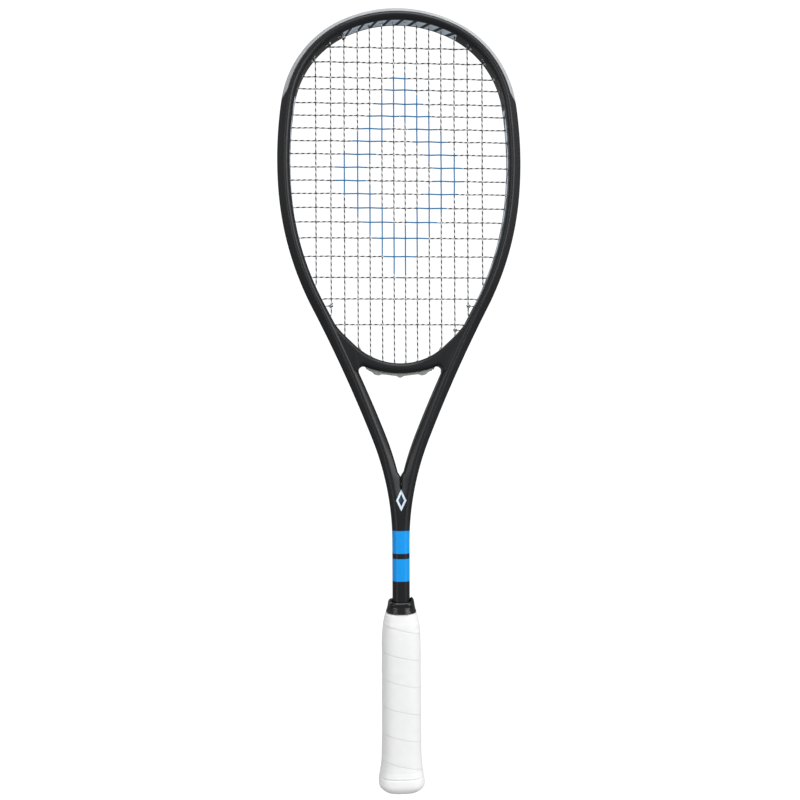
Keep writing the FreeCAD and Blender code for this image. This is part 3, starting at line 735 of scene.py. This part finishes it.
# Height, half width and half depth
GRIP_LEVELS = (
    (14.4, 19.15, 16.2), (15.2, 19.25, 16.35), (17.0, 18.85, 15.95), (20.0, 18.35, 15.5),
    (25.0, 17.85, 15.1), (34.3, 17.4, 14.8), (60.7, 17.1, 14.6), (115.0, 17.05, 14.55),
    (131.0, 17.0, 14.5), (139.0, 16.7, 14.3), (146.0, 16.0, 14.0), (151.5, 14.8, 13.5),
    (154.6, 14.05, 13.15), (155.6, 13.4, 12.7), (156.2, 11.6, 11.7), (161.1, 10.5, 11.2),
)
BUTT_LEVELS = (
    (0.0, 10.6, 8.8), (0.03, 11.9, 10.0), (0.35, 13.3, 11.3), (1.1, 14.8, 12.6),
    (2.2, 16.5, 14.0), (3.6, 18.1, 15.3), (5.2, 19.5, 16.5), (6.8, 20.15, 17.05),
    (8.2, 20.28, 17.15), (10.0, 20.15, 17.05), (12.4, 19.65, 16.65), (14.1, 19.3, 16.35),
    (14.3, 18.9, 16.0),
)
# Height, half width, half depth and share of the lip's rise, from the lower rim up and inside again
COLLAR_LEVELS = (
    (156.5, 12.2, 12.5, 0.0), (156.42, 12.8, 13.1, 0.0), (156.5, 13.2, 13.5, 0.0),
    (156.9, 13.4, 13.7, 0.0), (157.5, 13.3, 13.6, 0.0), (158.2, 12.85, 13.2, 0.0),
    (159.2, 12.6, 13.0, 0.0), (161.0, 12.15, 12.5, 0.05), (162.6, 11.75, 12.0, 0.15),
    (163.7, 11.65, 12.1, 0.4), (164.8, 11.25, 11.9, 0.7), (165.9, 10.4, 11.1, 0.95),
    (166.5, 9.5, 10.4, 1.0), (166.4, 8.8, 9.9, 1.0), (165.8, 8.1, 9.5, 1.0),
    (164.0, 7.5, 8.9, 0.6), (161.5, 7.46, 8.84, 0.1),
)
COLLAR_OUTSIDE = 13         # this many of the levels are on the outside
WRAP_PITCH = 23.5
WRAP_PHASE = 0.19           # where round the grip each turn's edge starts
WRAP_STEP = 0.34            # height of the overlap's edge
CORNER_POWER, BUTT_POWER = 2.9, 3.1     # how square the grip and the butt are


def squircle(angle, half_width, half_depth, power=CORNER_POWER):
    c, s = math.cos(angle), math.sin(angle)
    size = (abs(c / half_width) ** power + abs(s / half_depth) ** power) ** (-1 / power)
    return size * c, size * s


def blend_levels(levels, z):
    for low, high in zip(levels, levels[1:]):
        if z <= high[0]:
            share = smooth(low[0], high[0], z) * 0.4 + 0.6 * (z - low[0]) / (high[0] - low[0])
            return tuple(a + (b - a) * share for a, b in zip(low[1:], high[1:]))
    return levels[-1][1:]


def build_grip(material):
    """White wrap: a rounded body with the edge of each turn standing on the turn below."""
    around, count = 144, 380
    low, high = GRIP_LEVELS[0][0], GRIP_LEVELS[-1][0]
    points, seam = [], []
    for r in range(count + 1):
        z = low + (high - low) * r / count
        a, b = blend_levels(GRIP_LEVELS, z)
        fade = smooth(low, low + 3, z) * (1 - smooth(151.5, 155.5, z))
        for k in range(around):
            angle = 2 * math.pi * k / around
            x, y = squircle(angle, a, b)
            turn = (angle / (2 * math.pi) + z / WRAP_PITCH + WRAP_PHASE) % 1.0
            wander = 0.012 * noise.noise(Vector((math.cos(angle) * 1.5, math.sin(angle) * 1.5, z * 0.05)))
            turn = (turn + wander) % 1.0
            rise = WRAP_STEP * (smooth(0.0, 0.03, turn) - 0.75 * turn)
            dent = -0.08 * math.exp(-((turn if turn < 0.5 else turn - 1) / 0.012) ** 2)
            soft = 0.08 * noise.noise(Vector((x * 0.11, y * 0.11, z * 0.06)))
            lift = (rise + dent + soft - 0.2) * fade
            scale = 1 + lift / math.hypot(x, y)
            points.append(Vector((x * scale, y * scale, z)))
            seam.append(turn)
    faces = grid_faces(count + 1, around)
    inner = [Vector((p.x * 0.93, p.y * 0.93, low)) for p in points[:around]]
    base = len(points)
    points += inner
    seam += [0.5] * around
    faces += [(k, base + k, base + (k + 1) % around, (k + 1) % around) for k in range(around)]
    piece = make_piece("grip_wrap", points, faces, material, "racket", {"seam": seam}, sharp=60.0)
    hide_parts("base_grip")


def add_smoother(piece, name):
    smoother = piece.modifiers.new(name, "SUBSURF")
    smoother.levels = smoother.render_levels = 1


def build_butt(material):
    around = 96
    points = []
    for z, a, b in BUTT_LEVELS:
        for k in range(around):
            x, y = squircle(2 * math.pi * k / around, a, b, BUTT_POWER)
            points.append(Vector((x, y, z)))
    faces = grid_faces(len(BUTT_LEVELS), around, (True, True))
    piece = make_piece("butt_end", points, faces, material, "racket", sharp=70.0)
    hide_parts("butt_cap")
    add_smoother(piece, "smooth_rounds")


def build_collar(material):
    """Stretched rubber cone: beaded lower rim, saddle-shaped upper lip that rides up at the sides."""
    around = 120
    points = []
    for index, (z, a, b, lip) in enumerate(COLLAR_LEVELS):
        power = 2.3 + 1.2 * smooth(161.0, 166.0, z)
        for k in range(around):
            angle = 2 * math.pi * k / around
            x, y = squircle(angle, a, b, power)
            side = abs(math.cos(angle)) ** 4
            height = (1.6 + 0.7 * math.cos(angle)) * side - 0.3 * (1 - side)
            height += 0.3 * noise.noise(Vector((math.cos(angle) * 1.7, math.sin(angle) * 1.7, 4.0)))
            ripple = 0.24 * noise.noise(Vector((x * 0.3, y * 0.3, z * 0.6))) * smooth(158.0, 162.0, z)
            scale = 1 + ripple / math.hypot(x, y) if index < COLLAR_OUTSIDE else 1.0
            points.append(Vector((x * scale, y * scale, z + height * lip)))
    faces = grid_faces(len(COLLAR_LEVELS), around)
    last = (len(COLLAR_LEVELS) - 1) * around
    faces += [(last + k, last + (k + 1) % around, (k + 1) % around, k) for k in range(around)]
    piece = make_piece("collar_sleeve", points, faces, material, "collar", sharp=70.0)
    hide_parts("rubber_collar")
    add_smoother(piece, "smooth_rubber")


# ------------------------ materials

def srgb(*channels):
    """Linear colour from 0 to 255 display values."""
    linear = [c / 255 for c in channels]
    return tuple(c / 12.92 if c <= 0.04045 else ((c + 0.055) / 1.055) ** 2.4 for c in linear) + (1.0,)


class Shader:
    """A material's node tree, with short calls for the nodes that the finishes share."""

    def __init__(self, name, roughness, **sockets):
        self.material = bpy.data.materials.new(name)
        self.material.use_nodes = True
        self.tree = self.material.node_tree
        self.surface = self.tree.nodes["Principled BSDF"]
        self.surface.inputs["Roughness"].default_value = roughness
        self.surface.inputs["Subsurface Radius"].default_value = (1.0, 1.0, 1.0)
        for key, value in sockets.items():
            self.surface.inputs[key.replace("_", " ")].default_value = value

    def new(self, kind):
        return self.tree.nodes.new("ShaderNode" + kind)

    def node(self, kind, *inputs, **settings):
        """Adds a node. An input is a number, a colour or another node's output; None leaves it."""
        made = self.new(kind)
        for key, value in settings.items():
            setattr(made, key, value)
        for socket, value in zip(made.inputs, inputs):
            self.feed(socket, value)
        return made.outputs[0]

    def feed(self, socket, value):
        if value is None:
            return
        if isinstance(value, bpy.types.NodeSocket):
            self.tree.links.new(value, socket)
        else:
            socket.default_value = value

    def math(self, operation, *inputs):
        return self.node("Math", *inputs, operation=operation)

    def attribute(self, name, output="Fac"):
        made = self.new("Attribute")
        made.attribute_name = name
        return made.outputs[output]

    def point(self):
        return self.new("TexCoord").outputs["Object"]

    def split(self, vector):
        apart = self.new("SeparateXYZ")
        self.feed(apart.inputs[0], vector)
        return apart.outputs

    def noise(self, scale, detail, roughness=0.5):
        made = self.new("TexNoise")
        self.feed(made.inputs["Vector"], self.point())
        made.inputs["Scale"].default_value = scale
        made.inputs["Detail"].default_value = detail
        made.inputs["Roughness"].default_value = roughness
        return made.outputs["Fac"]

    def mix(self, share, first, second):
        """Blends two colours. 0, 6 and 7 are the mix node's own sockets for its colour mode."""
        made = self.new("Mix")
        made.data_type = "RGBA"
        for index, value in ((0, share), (6, first), (7, second)):
            self.feed(made.inputs[index], value)
        return made.outputs[2]

    def ramp(self, value, low, high, start=0.0, end=1.0):
        made = self.new("MapRange")
        for socket, item in zip(made.inputs, (value, low, high, start, end)):
            self.feed(socket, item)
        return made.outputs[0]

    def band(self, value, low, high, edge):
        """1 where value is between low and high, with soft edges."""
        up = self.ramp(value, low - edge, low + edge)
        down = self.ramp(value, high - edge, high + edge, 1.0, 0.0)
        return self.math("MULTIPLY", up, down)

    def bump(self, height, strength, distance, below=None):
        made = self.new("Bump")
        made.inputs["Strength"].default_value = strength
        made.inputs["Distance"].default_value = distance
        self.feed(made.inputs["Height"], height)
        self.feed(made.inputs["Normal"], below)
        return made.outputs[0]

    def diamond(self, x, z, middle, halves):
        """Distance from the middle of a diamond, 1 at its edge."""
        across = self.math("DIVIDE", self.math("ABSOLUTE", x), halves[0])
        up = self.math("DIVIDE", self.math("ABSOLUTE", self.math("SUBTRACT", z, middle)), halves[1])
        return self.math("ADD", across, up)

    def finish(self, colour=None, roughness=None, normal=None):
        self.feed(self.surface.inputs["Base Color"], colour)
        self.feed(self.surface.inputs["Roughness"], roughness)
        self.feed(self.surface.inputs["Normal"], normal)
        return self.material


BLUE = srgb(0, 158, 246)
PALE = srgb(222, 240, 254)
NAVY = srgb(8, 40, 74)
SHAFT_BANDS = ((0.2085, 0.2283), (0.1843, 0.2038))
# Bars on the inside of the hoop: ends along the run, period, share of the period, slant, half height
INNER_BARS = (
    (-0.056, 0.058, 0.0128, 0.70, 0.55, 0.0056),
    (-0.345, -0.138, 0.026, 0.82, 1.1, 0.0042),
    (0.148, 0.335, 0.026, 0.82, -1.1, 0.0042),
)
EMBLEM_Z, EMBLEM_HALVES = 0.2550, (0.0045, 0.0094)
STENCIL_Z, STENCIL_HALVES = 0.541, (0.060, 0.095)


def slanted_bars(shader, first, last, period, share, slant, half_width):
    """Mask of plain slanted bars along a face: run from first to last, in metres."""
    run, y = shader.attribute("run"), shader.split(shader.point())[1]
    moved = shader.math("ADD", run, shader.math("MULTIPLY", y, slant))
    cell = shader.math("FRACT", shader.math("DIVIDE", moved, period))
    bars = shader.band(cell, 0.5 - share / 2, 0.5 + share / 2, 0.012)
    inside = shader.band(run, first, last, 0.0004)
    height = shader.ramp(shader.math("ABSOLUTE", y), half_width, half_width - 0.0004)
    return shader.math("MULTIPLY", shader.math("MULTIPLY", bars, inside), height)


def paint_material(name, marks):
    """Satin black lacquer with fine fibre under it, and the coloured marks of the frame."""
    s = Shader(name, 0.4, Coat_Weight=0.06, Coat_Roughness=0.2, IOR=1.42)
    x, _, z = s.split(s.point())
    fibre = s.noise(900.0, 2.0)
    cloud = s.noise(38.0, 4.0)
    colour = s.mix(s.ramp(fibre, 0.3, 0.7), srgb(15, 16, 19), srgb(21, 23, 27))
    colour = s.mix(s.ramp(cloud, 0.35, 0.7, 0.0, 0.35), colour, srgb(17, 19, 22))
    if marks:
        colour = frame_marks(s, colour, x, z)
    roughness = s.ramp(cloud, 0.3, 0.7, 0.36, 0.43)
    normal = s.bump(fibre, 0.03, 0.0001, s.bump(cloud, 0.04, 0.0006))
    return s.finish(colour, roughness, normal)


def frame_marks(s, colour, x, z):
    """Bands round the shaft, bars inside the hoop and outside the arms, and the throat's diamond."""
    rim = 0.0004
    for low, high in SHAFT_BANDS:
        colour = s.mix(s.band(z, low - rim, high + rim, 0.00025), colour, NAVY)
        colour = s.mix(s.band(z, low, high, 0.0002), colour, BLUE)
    rim = 0.0008
    inner = s.math("MULTIPLY", s.ramp(s.attribute("inset"), 10.1, 10.25), s.ramp(z, 0.40, 0.402))
    for first, last, period, share, slant, half in INNER_BARS:
        edges = slanted_bars(s, first - rim, last + rim, period, share + 0.1, slant, half + rim)
        colour = s.mix(s.math("MULTIPLY", edges, inner), colour, NAVY)
        bars = slanted_bars(s, first, last, period, share, slant, half)
        colour = s.mix(s.math("MULTIPLY", bars, inner), colour, PALE)
    outer = s.ramp(s.attribute("inset"), 0.9, 0.5)
    for side in (-1, 1):
        first, last = sorted((side * 0.43, side * 0.545))
        bars = slanted_bars(s, first, last, 0.034, 0.78, 1.4 * side, 0.0034)
        colour = s.mix(s.math("MULTIPLY", bars, outer), colour, srgb(96, 160, 210))
    size = s.diamond(x, z, EMBLEM_Z, EMBLEM_HALVES)
    colour = s.mix(s.ramp(size, 1.12, 1.0), colour, NAVY)
    return s.mix(s.band(size, 0.58, 1.0, 0.03), colour, srgb(226, 240, 250))


def string_material():
    """Pale glossy string with a dark filament spiralling round it, and the blue stencil."""
    s = Shader("string_fibre", 0.42, IOR=1.45)
    cosine, sine, distance = s.split(s.attribute("strand", "Vector"))
    angle = s.math("DIVIDE", s.math("ARCTAN2", sine, cosine), 2 * math.pi)
    turn = s.math("ADD", angle, s.math("DIVIDE", distance, 0.0052))
    turn = s.math("ADD", turn, s.math("MULTIPLY", s.noise(60.0, 1.0), 0.35))
    cell = s.math("FRACT", s.math("ADD", turn, 40.0))
    dark = s.band(cell, 0.19, 0.73, 0.05)
    fine = s.math("ADD", s.math("MULTIPLY", angle, 5.0), s.math("DIVIDE", distance, 0.0011))
    ridge = s.math("PINGPONG", s.math("FRACT", fine), 0.5)
    colour = s.mix(dark, srgb(214, 216, 218), srgb(40, 41, 43))
    colour = s.mix(s.ramp(ridge, 0.0, 0.12, 0.25, 0.0), colour, srgb(90, 92, 94))
    x, _, z = s.split(s.point())
    size = s.diamond(x, z, STENCIL_Z, STENCIL_HALVES)
    uneven = s.math("ADD", size, s.math("MULTIPLY", s.math("SUBTRACT", s.noise(220.0, 2.0), 0.5), 0.05))
    stencil = s.band(uneven, 0.55, 1.0, 0.012)
    colour = s.mix(stencil, colour, srgb(0, 118, 176))
    return s.finish(colour, None, s.bump(ridge, 0.35, 0.0001))


def bumper_material():
    s = Shader("bumper_nylon", 0.45, IOR=1.46)
    grain = s.noise(1400.0, 2.0)
    scuff = s.noise(60.0, 5.0, 0.65)
    colour = s.mix(s.ramp(scuff, 0.35, 0.72), srgb(178, 181, 184), srgb(160, 164, 168))
    return s.finish(colour, s.ramp(scuff, 0.3, 0.7, 0.38, 0.55), s.bump(grain, 0.12, 0.0001))


def grommet_grey_material():
    s = Shader("throat_nylon", 0.38, IOR=1.46, Subsurface_Weight=0.35, Subsurface_Scale=0.002)
    cloud = s.noise(120.0, 4.0)
    colour = s.mix(cloud, srgb(150, 155, 150), srgb(174, 178, 172))
    return s.finish(colour, None, s.bump(cloud, 0.15, 0.0002))


def black_nylon_material():
    s = Shader("grommet_nylon", 0.42, IOR=1.46)
    cloud = s.noise(300.0, 4.0)
    colour = s.mix(cloud, srgb(24, 24, 25), srgb(38, 38, 40))
    return s.finish(colour, None, s.bump(cloud, 0.2, 0.0001))


def grip_material():
    """Soft white polyurethane: faint pores and creases, and a painted grey shade along each seam."""
    s = Shader("grip_polyurethane", 0.55, IOR=1.45, Subsurface_Weight=0.12, Subsurface_Scale=0.004,
               Sheen_Weight=0.15, Sheen_Roughness=0.4)
    seam = s.attribute("seam")
    # Mask for the painted shade next to each turn's edge, 1 right at the seam.
    seam_shade = s.math("ADD", s.ramp(seam, 0.0, 0.02, 1.0, 0.0), s.ramp(seam, 0.985, 1.0, 0.0, 1.0))
    crease = s.noise(150.0, 4.0, 0.6)
    pores = s.new("TexVoronoi")
    s.feed(pores.inputs["Vector"], s.point())
    pores.inputs["Scale"].default_value = 700.0
    grain = s.ramp(pores.outputs["Distance"], 0.0, 0.35)
    colour = s.mix(s.ramp(crease, 0.3, 0.75), srgb(250, 250, 250), srgb(244, 245, 245))
    # Painted shade: a faint grey line along each seam stands in for the shadow under the overlapping turn's
    # edge.
    colour = s.mix(s.math("MULTIPLY", seam_shade, 0.06), colour, srgb(222, 224, 226))
    normal = s.bump(grain, 0.12, 0.00012, s.bump(crease, 0.22, 0.0005))
    return s.finish(colour, s.ramp(crease, 0.3, 0.7, 0.48, 0.62), normal)


def butt_material():
    s = Shader("butt_plastic", 0.5, IOR=1.46, Subsurface_Weight=0.08, Subsurface_Scale=0.003)
    cloud = s.noise(90.0, 4.0)
    colour = s.mix(cloud, srgb(250, 250, 250), srgb(244, 245, 245))
    return s.finish(colour, None, s.bump(cloud, 0.12, 0.0004))


def rubber_material():
    s = Shader("collar_rubber", 0.28, IOR=1.42, Coat_Weight=0.08, Coat_Roughness=0.12)
    cloud = s.noise(140.0, 4.0, 0.6)
    colour = s.mix(cloud, srgb(14, 14, 15), srgb(22, 22, 24))
    return s.finish(colour, s.ramp(cloud, 0.3, 0.7, 0.2, 0.3), s.bump(cloud, 0.1, 0.0004))


def plain_material(name, first, second, roughness, scale=160.0, metallic=0.0):
    s = Shader(name, roughness, Metallic=metallic)
    cloud = s.noise(scale, 4.0)
    return s.finish(s.mix(cloud, first, second), None, s.bump(cloud, 0.15, 0.0002))


def dress_cad_nodes():
    """Materials for the CAD nodes that stay."""
    black = black_nylon_material()
    foam = plain_material("handle_polyurethane", srgb(196, 186, 160), srgb(212, 203, 180), 0.7)
    steel = plain_material("staple_wire", srgb(170, 172, 176), srgb(190, 192, 196), 0.3, 400.0, 1.0)
    tape = plain_material("finishing_vinyl", srgb(28, 28, 30), srgb(40, 40, 42), 0.35)
    for node, material in (
        ("side_grommets_left", black), ("side_grommets_right", black),
        ("handle_pallet_front", foam), ("handle_pallet_back", foam),
        ("butt_cap_staples", steel), ("finishing_tape", tape),
    ):
        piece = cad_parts[node]
        if not piece.material_slots:
            piece.data.materials.append(material)
        for slot in piece.material_slots:
            slot.material = material


# ------------------------ studio

CAMERA_DISTANCE = 0.78
CAMERA_AZIMUTH = -3.3
CAMERA_ROLL = -0.21
CAMERA_TARGET = Vector((-0.0003, 0.0, 0.34255))
VIEW_WIDTH = 0.70455        # metres across the picture at the racket


def aim(thing, target, roll=0.0):
    look = (target - thing.location).to_track_quat("-Z", "Y")
    thing.rotation_euler = (look.to_matrix() @ Matrix.Rotation(math.radians(roll), 3, "Z")).to_euler()


def build_camera():
    camera = add_object("camera", bpy.data.cameras.new("camera"))
    angle = math.radians(CAMERA_AZIMUTH)
    camera.location = CAMERA_TARGET + Vector((math.sin(angle), -math.cos(angle), 0)) * CAMERA_DISTANCE
    camera.data.lens = camera.data.sensor_width * CAMERA_DISTANCE / VIEW_WIDTH
    camera.data.clip_start = 0.01
    aim(camera, CAMERA_TARGET, CAMERA_ROLL)
    bpy.context.scene.camera = camera


def area_light(name, place, size, power):
    light = bpy.data.lights.new(name, "AREA")
    light.shape = "RECTANGLE"
    light.size, light.size_y = size
    light.energy = power
    lamp = add_object(name, light)
    lamp.location = place
    aim(lamp, CAMERA_TARGET)


def build_stage():
    """White sweep: a floor well under the racket, which is held up, and a wall that grows out of it."""
    floor_z, reach, bend = -0.30, 4.0, 1.2
    profile = [(-6.0, floor_z), (reach - bend, floor_z)]
    for k in range(1, 13):
        angle = math.pi / 2 * k / 12
        profile.append((reach - bend + bend * math.sin(angle), floor_z + bend * (1 - math.cos(angle))))
    profile.append((reach, 6.0))
    points = [Vector((x, y, z)) for y, z in profile for x in (-8.0, 8.0)]
    faces = [(2 * k, 2 * k + 1, 2 * k + 3, 2 * k + 2) for k in range(len(profile) - 1)]
    mesh = bpy.data.meshes.new("studio_sweep")
    mesh.from_pydata(points, [], faces)
    for face in mesh.polygons:
        face.use_smooth = True
    sweep = add_object("studio_sweep", mesh)
    s = Shader("studio_paper", 0.9)
    paper = s.mix(s.noise(3.0, 2.0), srgb(112, 112, 112), srgb(108, 108, 108))
    mesh.materials.append(s.finish(paper))
    s.surface.inputs["Emission Color"].default_value = (1, 1, 1, 1)
    seen = s.new("LightPath").outputs["Is Camera Ray"]
    s.feed(s.surface.inputs["Emission Strength"], s.ramp(seen, 0.0, 1.0, 0.15, 1.0))


def build_lights():
    """Soft boxes, and a world that is white behind the racket and dimmer as a light."""
    world = bpy.data.worlds.new("studio")
    bpy.context.scene.world = world
    world.use_nodes = True
    tree = world.node_tree
    sky = tree.nodes["Background"]
    sky.inputs["Color"].default_value = (1, 1, 1, 1)
    share = tree.nodes.new("ShaderNodeMapRange")
    share.inputs["To Min"].default_value = 0.42
    share.inputs["To Max"].default_value = 1.0
    tree.links.new(tree.nodes.new("ShaderNodeLightPath").outputs["Is Camera Ray"], share.inputs["Value"])
    tree.links.new(share.outputs[0], sky.inputs["Strength"])
    area_light("key", Vector((1.6, -1.5, 1.0)), (1.5, 2.0), 34.0)
    area_light("fill", Vector((-1.5, -1.6, 0.6)), (1.2, 1.8), 13.0)
    area_light("top", Vector((0.2, -0.5, 2.3)), (1.4, 1.0), 18.0)
    area_light("low", Vector((0.0, -0.8, -1.2)), (1.2, 1.2), 40.0)
    area_light("back_key", Vector((-1.6, 1.5, 1.4)), (0.8, 1.8), 8.0)


def main():
    build_frame_shell(paint_material("frame_lacquer", marks=True))
    build_bridge_shell(paint_material("bridge_lacquer", marks=False))
    build_bumper(bumper_material())
    build_throat_strip(grommet_grey_material())
    strings = string_material()
    build_strings(strings)
    build_knots(strings)
    build_grip(grip_material())
    build_butt(butt_material())
    build_collar(rubber_material())
    dress_cad_nodes()
    build_stage()
    build_lights()
    build_camera()
    bpy.context.scene.view_settings.view_transform = "Standard"


main()
